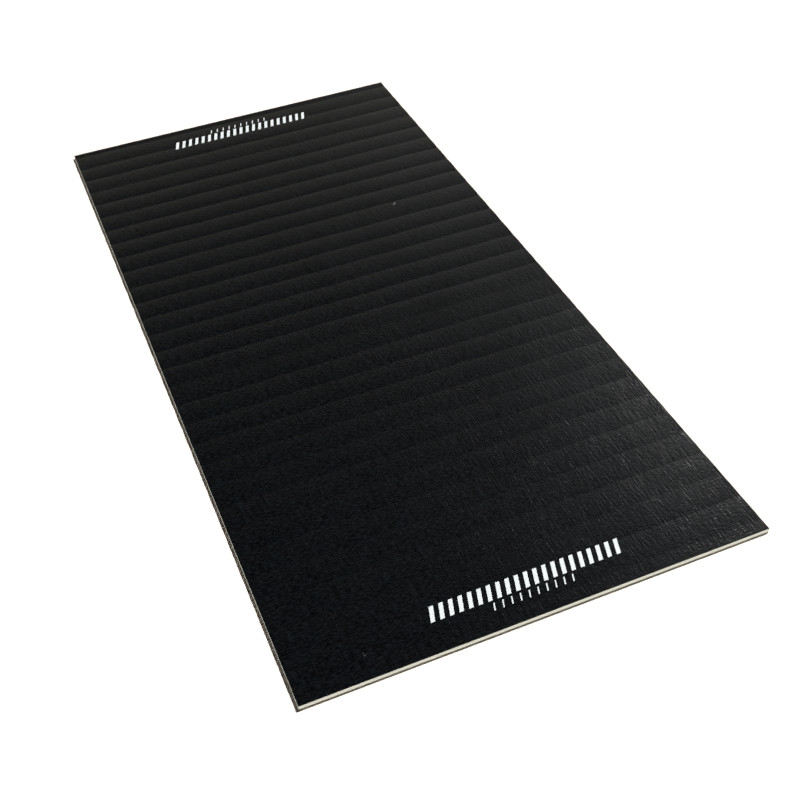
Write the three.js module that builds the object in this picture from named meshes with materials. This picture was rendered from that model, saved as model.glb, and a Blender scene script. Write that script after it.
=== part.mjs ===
// Rubber stall mat: a black embossed facing sheet bonded to a cream foam core.
// The core is scored from below at a regular pitch, so that the mat rolls up,
// and the facing shows each score line as a crease between two low pillows.
//
// Millimetres, +Z up. The origin is on the floor under the middle of the mat,
// its length runs along Y and its width along X.

import * as THREE from 'three';

// Overall plan size
const MAT_WIDTH = 1219.2;
const MAT_LENGTH = 2438.4;

// The two bonded layers, measured at the top of a pillow
const SHEET_THICKNESS = 1.5;
const CORE_THICKNESS = 11.2;

// Score lines, counted from the +Y end. From LONG_BAND on they lie further
// along by LONG_BAND_EXTRA, because the band before it is the wider one.
const FIRST_CREASE = 33;
const CREASE_PITCH = 81.5;
const LONG_BAND = 10;
const LONG_BAND_EXTRA = 9;

// Each band swells by PILLOW_RISE between its two creases
const PILLOW_RISE = 1.5;
const PILLOW_STEPS = 6;

// Knife cut from below, which leaves HINGE_THICKNESS of foam over it
const KERF_WIDTH = 0.8;
const HINGE_THICKNESS = 3;

// The last band is kept at least this wide, so a crease never meets the end
const LEAST_END_BAND = 12;

const END_Y = MAT_LENGTH / 2;
const SIDE_X = MAT_WIDTH / 2;

// Distances of the creases from the +Y end
function creaseDistances() {
  const creases = [];
  for (let k = 0; ; k += 1) {
    const distance = FIRST_CREASE + CREASE_PITCH * k + (k < LONG_BAND ? 0 : LONG_BAND_EXTRA);
    if (distance > MAT_LENGTH - LEAST_END_BAND) return creases;
    creases.push(distance);
  }
}

// How far the surface stands above a crease, at a share of the band's width.
// A parabola: nought at both creases and PILLOW_RISE half way between them.
function pillowRise(share) {
  return 4 * PILLOW_RISE * share * (1 - share);
}

// Where each band begins and ends. The mat is cut to length from scored stock,
// so the strips at its two ends belong to whole bands that run on past the cut.
function bandStops(creases) {
  const last = creases[creases.length - 1];
  const beforeFirst = Math.min(0, creases[0] - CREASE_PITCH);
  const afterLast = Math.max(MAT_LENGTH, last + CREASE_PITCH);
  return [beforeFirst, ...creases, afterLast];
}

// Points of the pillowed line across the whole length, as [y, rise] from +Y to -Y
function pillowLine(creases) {
  const stops = bandStops(creases);
  const points = [];
  const addPoint = (distance, band) => {
    const share = (distance - stops[band]) / (stops[band + 1] - stops[band]);
    points.push([END_Y - distance, pillowRise(share)]);
  };
  for (let band = 0; band + 1 < stops.length; band += 1) {
    const from = Math.max(0, stops[band]);
    const to = Math.min(MAT_LENGTH, stops[band + 1]);
    for (let step = 0; step < PILLOW_STEPS; step += 1) {
      addPoint(from + (to - from) * (step / PILLOW_STEPS), band);
    }
  }
  addPoint(MAT_LENGTH, stops.length - 2);
  return points;
}

// A closed outline of [y, z] points, carried across the width of the mat
function acrossWidth(outline) {
  const shape = new THREE.Shape(outline.map(([y, z]) => new THREE.Vector2(y, z)));
  const geometry = new THREE.ExtrudeGeometry(shape, { depth: MAT_WIDTH, bevelEnabled: false });
  // The outline's plane becomes YZ, and the way it was carried becomes X
  geometry.rotateY(Math.PI / 2);
  geometry.rotateX(Math.PI / 2);
  geometry.translate(-SIDE_X, 0, 0);
  return geometry;
}

function foamCore(line, creases) {
  const creaseLevel = CORE_THICKNESS - PILLOW_RISE;
  const slotTop = creaseLevel - HINGE_THICKNESS;
  const outline = line.map(([y, rise]) => [y, creaseLevel + rise]);
  outline.push([-END_Y, 0]);
  for (const distance of [...creases].reverse()) {
    const y = END_Y - distance;
    outline.push([y - KERF_WIDTH / 2, 0], [y - KERF_WIDTH / 2, slotTop]);
    outline.push([y + KERF_WIDTH / 2, slotTop], [y + KERF_WIDTH / 2, 0]);
  }
  outline.push([END_Y, 0]);
  return acrossWidth(outline);
}

function topSheet(line) {
  const underside = CORE_THICKNESS - PILLOW_RISE;
  const outline = line.map(([y, rise]) => [y, underside + SHEET_THICKNESS + rise]);
  for (const [y, rise] of [...line].reverse()) outline.push([y, underside + rise]);
  return acrossWidth(outline);
}

const foam = new THREE.MeshStandardMaterial({ color: 0xe6e6d5, roughness: 0.9, metalness: 0 });
const facing = new THREE.MeshStandardMaterial({ color: 0x17181a, roughness: 0.55, metalness: 0 });

function named(name, geometry, material) {
  const mesh = new THREE.Mesh(geometry, material);
  mesh.name = name;
  return mesh;
}

const creases = creaseDistances();
const line = pillowLine(creases);

const group = new THREE.Group();
group.add(named('foam_core', foamCore(line, creases), foam));
group.add(named('top_sheet', topSheet(line), facing));

export default group;
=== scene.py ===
import math

import bpy
import numpy as np
from mathutils import Matrix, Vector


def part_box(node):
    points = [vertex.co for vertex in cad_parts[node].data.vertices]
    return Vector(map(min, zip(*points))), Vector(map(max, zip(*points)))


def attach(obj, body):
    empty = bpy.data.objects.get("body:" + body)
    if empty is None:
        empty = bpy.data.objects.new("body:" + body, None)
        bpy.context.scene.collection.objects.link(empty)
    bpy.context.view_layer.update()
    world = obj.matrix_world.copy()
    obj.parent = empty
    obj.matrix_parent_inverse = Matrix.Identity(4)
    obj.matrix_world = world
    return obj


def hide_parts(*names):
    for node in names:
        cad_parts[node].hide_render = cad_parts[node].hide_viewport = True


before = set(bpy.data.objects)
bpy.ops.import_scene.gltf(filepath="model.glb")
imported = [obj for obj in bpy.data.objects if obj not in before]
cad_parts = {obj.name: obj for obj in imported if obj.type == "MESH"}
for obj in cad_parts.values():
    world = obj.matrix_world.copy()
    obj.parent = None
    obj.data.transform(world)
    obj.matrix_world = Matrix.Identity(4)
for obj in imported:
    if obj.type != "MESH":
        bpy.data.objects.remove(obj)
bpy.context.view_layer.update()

# Sizes of the mat, in metres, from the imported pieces
sheet_low, sheet_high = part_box("top_sheet")
core_low, core_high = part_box("foam_core")
HALF_WIDTH = sheet_high.x
HALF_LENGTH = sheet_high.y
TOP = sheet_high.z
PILLOW_RISE = core_high.z - sheet_low.z
SHEET_THICKNESS = TOP - core_high.z

# Score lines, counted from the +Y end, as the solids have them
FIRST_CREASE = 0.033
CREASE_PITCH = 0.0815
LONG_BAND = 10
LONG_BAND_EXTRA = 0.009
LEAST_END_BAND = 0.012
KERF_WIDTH = 0.0008
HINGE_THICKNESS = 0.003

# How the real score lines stray from their nominal places. Each wobble is a height and its two wave lengths.
CREASE_LEAN = 0.0055
CREASE_SWELL = 0.0076
CREASE_START = -0.0055
WOBBLES = ((0.0008, 0.31, 0.53), (0.0006, 0.17, -0.21))

# The section of a crease: a narrow groove, rounded at its bottom
CREASE_SOFT = 0.0010
SOFT_SAMPLES = 9
GROOVE_DEPTH = 0.00008
GROOVE_REACH = 0.005

# How deep the creases are, as shares of the full rise: uneven, one of them weak, the near third flatter
DEPTH_SEED = 8
DEPTH_SPREAD = 0.12
WEAK_CREASE = 17
WEAK_DEPTH = 0.45
NEAR_FLAT_FROM = -0.30
NEAR_DEPTH = 0.45
NEAR_FADE = 0.7


class Wire:
    """A shader socket that can be used in sums: an expression on wires adds its Math nodes."""

    def __init__(self, graph, socket):
        self.graph = graph
        self.socket = socket

    def math(self, operation, *values):
        return self.graph.node("ShaderNodeMath", {"operation": operation}, dict(enumerate(values)))

    def __add__(self, other):
        return self.math("ADD", self, other)

    def __sub__(self, other):
        return self.math("SUBTRACT", self, other)

    def __rsub__(self, other):
        return self.math("SUBTRACT", other, self)

    def __mul__(self, other):
        return self.math("MULTIPLY", self, other)

    __radd__ = __add__
    __rmul__ = __mul__

    def step(self, low, high):
        """0 at low and beyond it, 1 at high, and a smooth step between them."""
        return self.graph.node("ShaderNodeMapRange", {"interpolation_type": "SMOOTHSTEP"},
                               {"Value": self, "From Min": low, "From Max": high})


class Graph:
    """A node tree that gives each node's output as a wire."""

    def __init__(self, tree):
        self.tree = tree

    def node(self, kind, settings=None, inputs=None, output=0):
        """Adds a node, sets what it is, fills or links its sockets and gives one of its outputs."""
        node = self.tree.nodes.new(kind)
        for key, value in (settings or {}).items():
            setattr(node, key, value)
        for key, value in (inputs or {}).items():
            if isinstance(value, Wire):
                self.tree.links.new(value.socket, node.inputs[key])
            else:
                node.inputs[key].default_value = value
        return Wire(self, node.outputs[output])

    def mix(self, factor, first, second):
        """A colour that goes from first to second with factor."""
        ends = {"Factor": factor, 6: first, 7: second}
        return self.node("ShaderNodeMix", {"data_type": "RGBA"}, ends, output=2)


class Finish(Graph):
    """One material, with the nodes that feed its Principled shader."""

    def __init__(self, name, **constants):
        self.material = bpy.data.materials.new(name)
        self.material.use_nodes = True
        super().__init__(self.material.node_tree)
        self.shader = self.tree.nodes["Principled BSDF"]
        for socket, value in constants.items():
            self.shader.inputs[socket.replace("_", " ")].default_value = value
        self.place = self.node("ShaderNodeTexCoord", output="Object")

    def noise(self, lengths, detail=2.0, seed=0.0):
        """Cloudy noise from 0 to 1 about 0.5, with patches of these lengths in metres along X, Y and Z.

        A pattern without a length along Z doesn't change with height.
        """
        scales = [1 / length for length in lengths] + [0.0] * (3 - len(lengths))
        stretched = self.node("ShaderNodeMapping", None,
                              {"Vector": self.place, "Scale": scales, "Location": (seed, seed, seed)})
        return self.node("ShaderNodeTexNoise", None, {"Vector": stretched, "Scale": 1.0, "Detail": detail})

    def bump(self, height, distance, strength=1.0):
        """A normal that follows height, which is worth distance metres from 0 to 1."""
        return self.node("ShaderNodeBump", None, {"Height": height, "Distance": distance, "Strength": strength})

    def feed(self, socket, wire):
        self.tree.links.new(wire.socket, self.shader.inputs[socket])


# Patterns of the facing
ALONG_THREAD = dict(lengths=(0.0042, 0.045), detail=1.0)
ACROSS_THREAD = dict(lengths=(0.014, 0.0038), detail=1.0, seed=7.0)
RAISED_PATCH = dict(lengths=(0.030, 0.070), detail=1.0, seed=13.0)
SHEEN_PATCH = dict(lengths=(0.16, 0.10), detail=3.0, seed=3.0)
BLOT = dict(lengths=(0.040, 0.016), detail=2.0, seed=19.0)
HUE_PATCH = dict(lengths=(0.055, 0.040), detail=1.0, seed=17.0)
FINE_GRAIN = dict(lengths=(0.0035, 0.0035), detail=0.0, seed=23.0)
SOFT_PATCH_EDGE = (0.35, 0.65)
THREAD_EDGE = (0.38, 0.70)

# How far each pattern lifts the grain. The threads along the mat stand higher where it is raised.
GRAIN_HEIGHT = 0.0007
ALONG_LIFT = 0.8
RAISED_LIFT = 0.4
ACROSS_LIFT = 1.0
FINE_LIFT = 0.4

# How much each pattern pales the sheet, counted from a level below which it is dark
PALE_BY_ALONG = 0.2
PALE_BY_ACROSS = 0.9
PALE_BY_BLOT = 0.6
PALE_BY_PATCH = 0.15
PALE_FROM = 0.33
DARK = (0.0002, 0.0003, 0.0005, 1)
PALE_BROWN = (0.0056, 0.0061, 0.0078, 1)
PALE_TEAL = (0.0048, 0.0067, 0.0082, 1)

# Roughness of the sheet, and how much patches and threads add
SHEET_ROUGHNESS = 0.275
ROUGH_BY_PATCH = 0.06
ROUGH_BY_THREAD = 0.04


def facing_finish():
    """Black sheet pressed with a linen grain: threads along the mat and across it, and cloudy patches of sheen."""
    finish = Finish("black_facing")
    along = finish.noise(**ALONG_THREAD)
    across = finish.noise(**ACROSS_THREAD)
    raised = finish.noise(**RAISED_PATCH).step(*SOFT_PATCH_EDGE)
    patches = finish.noise(**SHEEN_PATCH)
    blots = finish.noise(**BLOT)
    hue = finish.noise(**HUE_PATCH).step(*SOFT_PATCH_EDGE)
    fine = finish.noise(**FINE_GRAIN)
    grain = ((along - 0.5) * (raised * RAISED_LIFT + ALONG_LIFT)
             + across * ACROSS_LIFT + fine * FINE_LIFT)
    pale = (along * PALE_BY_ALONG + across.step(*THREAD_EDGE) * PALE_BY_ACROSS
            + blots * PALE_BY_BLOT + patches * PALE_BY_PATCH - PALE_FROM)
    finish.feed("Base Color", finish.mix(pale, DARK, finish.mix(hue, PALE_BROWN, PALE_TEAL)))
    finish.feed("Roughness", SHEET_ROUGHNESS + patches * ROUGH_BY_PATCH + along * ROUGH_BY_THREAD)
    finish.feed("Normal", finish.bump(grain, GRAIN_HEIGHT))
    return finish.material


# The cut foam: its cells, its cloudy patches and the two creams between which it varies
FOAM_CELL = dict(lengths=(0.0012, 0.0012, 0.0012), detail=2.0)
FOAM_PATCH = dict(lengths=(0.06, 0.06, 0.004), detail=3.0, seed=5.0)
FOAM_BY_PATCH = 0.6
FOAM_BY_CELL = 0.4
FOAM_SHADE = (0.74, 0.735, 0.60, 1)
FOAM_PALE = (0.82, 0.82, 0.70, 1)
FOAM_ROUGHNESS = 0.75
FOAM_ROUGH_BY_CELL = 0.2
CELL_HEIGHT = 0.0003
CELL_STRENGTH = 0.6


def foam_finish():
    """Cut closed-cell foam: cream, matt, with a fine grain of cells."""
    finish = Finish("cream_foam", Specular_IOR_Level=0.3)
    cells = finish.noise(**FOAM_CELL)
    patches = finish.noise(**FOAM_PATCH)
    shade = patches * FOAM_BY_PATCH + cells * FOAM_BY_CELL
    finish.feed("Base Color", finish.mix(shade, FOAM_SHADE, FOAM_PALE))
    finish.feed("Roughness", FOAM_ROUGHNESS + cells * FOAM_ROUGH_BY_CELL)
    finish.feed("Normal", finish.bump(cells, CELL_HEIGHT, CELL_STRENGTH))
    return finish.material


# The printed ink: where it is worn, and the two whites between which it varies
INK_WEAR = dict(lengths=(0.009, 0.009), detail=4.0, seed=11.0)
INK_WORN = (0.66, 0.70, 0.70, 1)
INK_FULL = (0.78, 0.82, 0.82, 1)
INK_ROUGHNESS = 0.45
INK_ROUGH_BY_WEAR = 0.2
WEAR_HEIGHT = 0.0002
WEAR_STRENGTH = 0.5


def ink_finish():
    """White screen ink, slightly uneven and less glossy than the sheet."""
    finish = Finish("white_ink")
    wear = finish.noise(**INK_WEAR)
    finish.feed("Base Color", finish.mix(wear, INK_WORN, INK_FULL))
    finish.feed("Roughness", INK_ROUGHNESS + wear * INK_ROUGH_BY_WEAR)
    finish.feed("Normal", finish.bump(wear, WEAR_HEIGHT, WEAR_STRENGTH))
    return finish.material


FLUFF = dict(lengths=(0.002, 0.002), detail=2.0, seed=29.0)


def lint_finish(name, shade, pale):
    """Matt fluff between two greys."""
    finish = Finish(name, Roughness=0.9, Specular_IOR_Level=0.2)
    fluff = finish.noise(**FLUFF)
    finish.feed("Base Color", finish.mix(fluff, (shade, shade, shade, 1), (pale, pale, pale, 1)))
    return finish.material


def crease_places():
    """The y where each band ends, from +Y to -Y. Both end strips belong to whole bands that run past the cut."""
    distances = []
    while True:
        band = len(distances)
        distance = FIRST_CREASE + CREASE_PITCH * band + (LONG_BAND_EXTRA if band >= LONG_BAND else 0)
        if distance > 2 * HALF_LENGTH - LEAST_END_BAND:
            break
        distances.append(distance)
    before_first = min(0, distances[0] - CREASE_PITCH)
    after_last = max(2 * HALF_LENGTH, distances[-1] + CREASE_PITCH)
    return HALF_LENGTH - np.array([before_first, *distances, after_last])


CREASES = crease_places()


def stray(x, y):
    """How far a score line has strayed towards -Y: a lean across the mat, a swell half way along, and a wobble."""
    share = (HALF_LENGTH - y) / (2 * HALF_LENGTH)
    wobble = sum(height * np.sin(2 * np.pi * (x / across + y / along)) for height, across, along in WOBBLES)
    return CREASE_START + CREASE_LEAN * x + CREASE_SWELL * np.sin(np.pi * share) + wobble


def pillow(y):
    """How far the sheet lies below a pillow's top, for the full depth of a crease.

    In each band it is PILLOW_RISE (1 - 4 s (1 - s)), where s is the share of its width, and a narrow groove is
    added, GROOVE_DEPTH exp(-d / GROOVE_REACH), where d is the distance to the crease.
    """
    band = np.clip(np.searchsorted(-CREASES, -y, side="right") - 1, 0, len(CREASES) - 2)
    width = CREASES[band] - CREASES[band + 1]
    share = (CREASES[band] - y) / width
    distance = width * np.minimum(share, 1 - share)
    return PILLOW_RISE * (1 - 4 * share * (1 - share)) + GROOVE_DEPTH * np.exp(-distance / GROOVE_REACH)


def crease_depth(y):
    """The share of the full depth at y, in straight lines from crease to crease.

    Each crease has 1 plus a random share, and from NEAR_FLAT_FROM it falls to NEAR_DEPTH at the near end.
    """
    draws = np.random.default_rng(DEPTH_SEED)
    depth = 1 + DEPTH_SPREAD * draws.standard_normal(len(CREASES))
    depth[WEAK_CREASE] = WEAK_DEPTH
    flatter = np.clip((NEAR_FLAT_FROM - CREASES) / (NEAR_FLAT_FROM + HALF_LENGTH), 0, 1)
    depth *= 1 - (1 - NEAR_DEPTH) * flatter ** NEAR_FADE
    return np.interp(-y, -CREASES, np.clip(depth, 0, 1))


def surface(x, y):
    """Height of the facing: TOP less the depth of the pillows, averaged over CREASE_SOFT to both sides of y."""
    nominal = y + stray(x, y)
    spread = np.linspace(-CREASE_SOFT, CREASE_SOFT, SOFT_SAMPLES)
    depth = np.mean([pillow(nominal + offset) for offset in spread], axis=0)
    return TOP - crease_depth(nominal) * depth


def built(name, points, faces, material):
    """An object at the origin, with its place in its mesh."""
    mesh = bpy.data.meshes.new(name)
    mesh.from_pydata(points, [], faces)
    mesh.materials.append(material)
    mesh.update()
    piece = bpy.data.objects.new(name, mesh)
    bpy.context.scene.collection.objects.link(piece)
    return piece


def sides(index):
    """The quads from each ring of points to the next, for index[..., ring, point]."""
    here, ahead = index[..., :-1, :], index[..., 1:, :]
    return np.stack([here, np.roll(here, -1, -1), np.roll(ahead, -1, -1), ahead], -1).reshape(-1, 4)


def tube(name, rings, material):
    """A closed solid from rings[row, point, xyz]: each ring joins the next, the first and last are capped.

    The rings run anticlockwise seen from the first, so the quads are turned over to point outwards.
    """
    count, around = rings.shape[:2]
    index = np.arange(count * around).reshape(count, around)
    quads = sides(index)[:, [0, 3, 2, 1]]
    faces = quads.tolist() + [index[0].tolist(), index[-1][::-1].tolist()]
    return built(name, rings.reshape(-1, 3).tolist(), faces, material)


def shade_smooth(piece, angle):
    """Smooth shading, but a hard edge where two faces meet at more than angle."""
    piece.data.shade_smooth()
    piece.data.set_sharp_from_angle(angle=angle)


# The grid of the sheet: columns across it, steps in each band, and a small round at its four edges
COLUMN_PITCH = 0.030
BAND_STEPS = 24
EDGE_RADIUS = 0.0005
EDGE_STEPS = np.array([0.0, 0.08, 0.3, 1.0, 2.0, 4.0]) * EDGE_RADIUS
EDGE_CLEAR = 0.004
END_FADE = 0.030
FACING_SMOOTH = math.radians(40)
FOAM_SMOOTH = math.radians(30)


def columns():
    """The x of each column: an even grid, with extra ones over the small round at both edges."""
    inner = HALF_WIDTH - COLUMN_PITCH
    even = np.linspace(-inner, inner, round(2 * inner / COLUMN_PITCH) + 1)
    return np.concatenate([-HALF_WIDTH + EDGE_STEPS, even, HALF_WIDTH - EDGE_STEPS[::-1]])


def rows():
    """The nominal y of each row, from +Y to -Y: cosine steps in each band, so they lie close at its creases."""
    steps = (1 - np.cos(np.pi * np.arange(BAND_STEPS) / BAND_STEPS)) / 2
    inner = (CREASES[:-1, None] + np.diff(CREASES)[:, None] * steps).ravel()
    inner = inner[np.abs(inner) < HALF_LENGTH - EDGE_CLEAR]
    return np.concatenate([HALF_LENGTH - EDGE_STEPS, inner, -HALF_LENGTH + EDGE_STEPS[::-1]])


def grid(across):
    """The x and y of the points: each row strays as the creases do, which fades out over END_FADE at both ends."""
    x, nominal = np.meshgrid(across, rows())
    inward = np.clip((HALF_LENGTH - np.abs(nominal)) / END_FADE, 0, 1)
    return x, nominal - stray(x, nominal) * inward


def edge_drop(x, y):
    """How far the top edge is rounded off: r - sqrt(r^2 - (r - d)^2), where d is the distance to the cut."""
    distance = np.minimum(HALF_WIDTH - np.abs(x), HALF_LENGTH - np.abs(y))
    short = np.clip(EDGE_RADIUS - distance, 0, EDGE_RADIUS)
    return EDGE_RADIUS - np.sqrt(EDGE_RADIUS ** 2 - short ** 2)


def facing():
    """The sheet: for each row a closed section, its top from -X to +X, down the cut edge and back underneath."""
    x, y = grid(columns())
    top = surface(x, y)
    upper = np.stack([x, y, top - edge_drop(x, y)], -1)
    lower = np.stack([x, y, top - SHEET_THICKNESS], -1)[:, ::-1]
    piece = tube("embossed_facing", np.concatenate([upper, lower], 1), facing_finish())
    shade_smooth(piece, FACING_SMOOTH)
    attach(piece, "root")
    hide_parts("top_sheet")


def core():
    """The foam: for each column a closed outline, its top from -Y to +Y, and back below past the score cuts.

    A cut has four points: up one wall to HINGE_THICKNESS below a crease of full depth, and down the other.
    """
    across = np.linspace(-HALF_WIDTH, HALF_WIDTH, round(2 * HALF_WIDTH / COLUMN_PITCH) + 1)
    x, y = (place.T[:, ::-1] for place in grid(across))
    upper = np.stack([x, y, surface(x, y) - SHEET_THICKNESS], -1)
    x, cut = np.meshgrid(across, CREASES[1:-1], indexing="ij")
    cut = cut - stray(x, cut)
    slots = np.zeros((*cut.shape, 4, 3))
    slots[..., 0] = x[..., None]
    slots[..., 1] = cut[..., None] + np.array([1, 1, -1, -1]) * KERF_WIDTH / 2
    slots[..., 2] = np.array([0, 1, 1, 0]) * (TOP - SHEET_THICKNESS - PILLOW_RISE - HINGE_THICKNESS)
    ends = np.zeros((2, len(across), 1, 3))
    ends[..., 0] = across[:, None]
    ends[0, ..., 1], ends[1, ..., 1] = HALF_LENGTH, -HALF_LENGTH
    rings = np.concatenate([upper, ends[0], slots.reshape(len(across), -1, 3), ends[1]], 1)
    piece = tube("scored_foam", rings, foam_finish())
    shade_smooth(piece, FOAM_SMOOTH)
    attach(piece, "root")
    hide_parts("foam_core")


# Slabs that lie on the facing
SLAB_THICKNESS = 0.00015
SLAB_SINK = 0.0002
SLAB_STEPS = 16


def slabs(name, strokes, material):
    """Thin closed slabs on the facing, one for each stroke.

    A stroke holds its middle x, low y, width, height and slant. A slab is a grid of two columns and SLAB_STEPS
    rows: x = middle + width (u - 1/2) + slant height (v - 1/2), y = low + height v, with its top SLAB_THICKNESS
    above the facing and its bottom SLAB_SINK below.
    """
    middle, low, width, height, slant = np.array(strokes).T[:, :, None, None]
    v, u = np.meshgrid(np.linspace(0, 1, SLAB_STEPS), [0.0, 1.0], indexing="ij")
    x = middle + width * (u - 0.5) + slant * height * (v - 0.5)
    y = low + height * v
    z = surface(x, y)
    upper = np.stack([x, y, z + SLAB_THICKNESS], -1)
    lower = np.stack([x, y, z - SLAB_SINK], -1)
    rings = np.concatenate([upper, lower[:, :, ::-1]], 2)
    index = np.arange(rings[..., 0].size).reshape(rings.shape[:-1])
    faces = np.concatenate([sides(index), index[:, 0, ::-1], index[:, -1]])
    piece = built(name, rings.reshape(-1, 3).tolist(), faces.tolist(), material)
    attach(piece, "root")


# The printed band at both short ends: thick slanted bars, and a shorter row of thin ones nearer the edge
BARS = dict(row=0.490, count=21, width=0.011, height=0.043, from_end=0.080)
TICKS = dict(row=0.207, count=10, width=0.0035, height=0.020, from_end=0.0525)
SLANT = 0.32


def printed_row(end, row, count, width, height, from_end):
    """Evenly spaced slanted strokes, whose outer tips lie from_end inside that end of the mat."""
    low = end * (HALF_LENGTH - from_end) - (height if end > 0 else 0)
    return [[x * end, low, width, height, SLANT] for x in np.linspace(-row / 2, row / 2, count)]


def end_mark(name, end, ink):
    """A plain row of bars and ticks at one end, which reads the same from that end."""
    slabs(name, printed_row(end, **BARS) + printed_row(end, **TICKS), ink)


# Lint on the facing, as strokes for slabs(): a bent fibre in two, and a small fleck. Greys go from dark to pale.
FIBRE = [[-0.4300, -1.1604, 0.0010, 0.0111, 0.0],
         [-0.4268, -1.1604, 0.0016, 0.0051, 1.27]]
FIBRE_GREYS = (0.04, 0.10)
FLECK = [[0.3289, 0.4300, 0.0034, 0.0105, 1.1]]
FLECK_GREYS = (0.20, 0.50)


def lint():
    """The pale bits that lie on the sheet."""
    slabs("loose_fibre", FIBRE, lint_finish("grey_fluff", *FIBRE_GREYS))
    slabs("pale_fleck", FLECK, lint_finish("pale_fluff", *FLECK_GREYS))


# The room that the mat's sheen mirrors
WORLD_STRENGTH = 0.52
ROOM_FADE = (0.1, 0.6)
HORIZON = (1.02, 0.99, 0.82, 1)
OVERHEAD = (0.0, 0.0, 0.0, 1)


def pale_room():
    """Surroundings that are white at the horizon and dark overhead."""
    world = bpy.data.worlds.new("pale_room")
    world.use_nodes = True
    room = Graph(world.node_tree)
    place = room.node("ShaderNodeTexCoord", output="Generated")
    up = room.node("ShaderNodeSeparateXYZ", None, {"Vector": place}, output="Z")
    colour = room.mix(up.step(*ROOM_FADE), HORIZON, OVERHEAD)
    background = world.node_tree.nodes["Background"]
    background.inputs["Strength"].default_value = WORLD_STRENGTH
    world.node_tree.links.new(colour.socket, background.inputs["Color"])
    world.cycles_visibility.diffuse = False
    bpy.context.scene.world = world


# The studio: how far the floor and the walls reach, and the floor's paint
ROOM_REACH = 60
FOOT = [(x * ROOM_REACH, y * ROOM_REACH) for x, y in ((-1, -1), (1, -1), (1, 1), (-1, 1))]
FLOOR_COLOUR = (0.34, 0.305, 0.28, 1)


def floor():
    """A wide floor, which its own sun makes white. It throws no light back on the mat."""
    paint = Finish("floor_paint", Base_Color=FLOOR_COLOUR, Roughness=1.0, Specular_IOR_Level=0.0)
    ground = built("floor", [(x, y, 0) for x, y in FOOT], [(0, 1, 2, 3)], paint.material)
    ground.visible_diffuse = False
    return ground


def backdrop():
    """White walls round the floor, which light nothing and show in no reflection."""
    white = Finish("backdrop_white", Base_Color=(0, 0, 0, 1), Emission_Color=(1, 1, 1, 1), Emission_Strength=1.0,
                   Specular_IOR_Level=0.0)
    points = [(x, y, z) for z in (0, ROOM_REACH) for x, y in FOOT]
    walls = [(k, (k + 1) % 4, (k + 1) % 4 + 4, k + 4) for k in range(4)]
    screen = built("backdrop", points, walls, white.material)
    screen.visible_diffuse = False
    screen.visible_glossy = False
    screen.visible_shadow = False


def lamp(name, kind, azimuth, elevation, strength, distance=0.0, **settings):
    """A white light that faces the middle of the mat, azimuth degrees to the right of +Y."""
    az, el = math.radians(azimuth), math.radians(elevation)
    light = bpy.data.lights.new(name, kind)
    light.energy = strength
    for key, value in settings.items():
        setattr(light, key, value)
    unit = bpy.data.objects.new(name, light)
    way = (math.sin(az) * math.cos(el), math.cos(az) * math.cos(el), math.sin(el))
    unit.location = [distance * part for part in way]
    unit.rotation_euler = (math.pi / 2 - el, 0, math.pi - az)
    bpy.context.scene.collection.objects.link(unit)
    return unit


# Lights: azimuth, elevation and strength of each, the suns' spreads, and the panels' distance and size
KEY = (55, 52, 4.7)
FLOOR_KEY = (55, 52, 9.8)
FILL = (211, 4, 4.4)
KEY_SPREAD = math.radians(4)
FILL_SPREAD = math.radians(20)
RIGHT_PANEL = (60, 18, 210)
BACK_PANEL = (30, 18, 3.0)
PANEL = dict(distance=7.0, shape="RECTANGLE", size=1.6, size_y=1.6)


def studio():
    """The room, the floor and the lights: suns light the surfaces, and only the panels show in the sheen."""
    bpy.context.scene.view_settings.view_transform = "Standard"
    pale_room()
    ground = floor()
    backdrop()
    key = lamp("key", "SUN", *KEY, angle=KEY_SPREAD)
    fill = lamp("fill", "SUN", *FILL, angle=FILL_SPREAD)
    floor_key = lamp("floor_key", "SUN", *FLOOR_KEY, angle=KEY_SPREAD)
    lit = bpy.data.collections.new("lit_by_floor_key")
    lit.objects.link(ground)
    floor_key.light_linking.receiver_collection = lit
    for unit in (key, fill, floor_key):
        unit.visible_glossy = False
    right = lamp("right_panel", "AREA", *RIGHT_PANEL, **PANEL)
    back = lamp("back_panel", "AREA", *BACK_PANEL, **PANEL)
    for unit in (right, back):
        unit.visible_diffuse = False


# The photograph's view: the lens looks at a point on the mat, and its frame is shifted sideways
VIEW_AZIMUTH = math.radians(-19.37)
VIEW_ELEVATION = math.radians(44.48)
VIEW_ROLL = math.radians(-3.50)
VIEW_TARGET = np.array([-0.145, -0.390, TOP])
VIEW_DISTANCE = 3.050
LENS = 49.43
SENSOR = 36
FRAME_SHIFT = 0.05625


def camera():
    """The photograph's view: from the near left, looking down, with the frame's middle right of the lens axis."""
    back = np.array([math.sin(VIEW_AZIMUTH) * math.cos(VIEW_ELEVATION),
                     -math.cos(VIEW_AZIMUTH) * math.cos(VIEW_ELEVATION),
                     math.sin(VIEW_ELEVATION)])
    right = np.cross(-back, [0, 0, 1])
    right /= np.linalg.norm(right)
    up = np.cross(right, -back)
    pose = np.eye(4)
    pose[:3, 0] = math.cos(VIEW_ROLL) * right + math.sin(VIEW_ROLL) * up
    pose[:3, 1] = -math.sin(VIEW_ROLL) * right + math.cos(VIEW_ROLL) * up
    pose[:3, 2] = back
    pose[:3, 3] = VIEW_TARGET + back * VIEW_DISTANCE
    data = bpy.data.cameras.new("camera")
    data.lens = LENS
    data.sensor_width = SENSOR
    data.shift_x = FRAME_SHIFT
    view = bpy.data.objects.new("camera", data)
    view.matrix_world = Matrix(pose.tolist())
    bpy.context.scene.collection.objects.link(view)
    bpy.context.scene.camera = view


camera()
facing()
core()
ink = ink_finish()
end_mark("far_end_mark", 1, ink)
end_mark("near_end_mark", -1, ink)
lint()
studio()
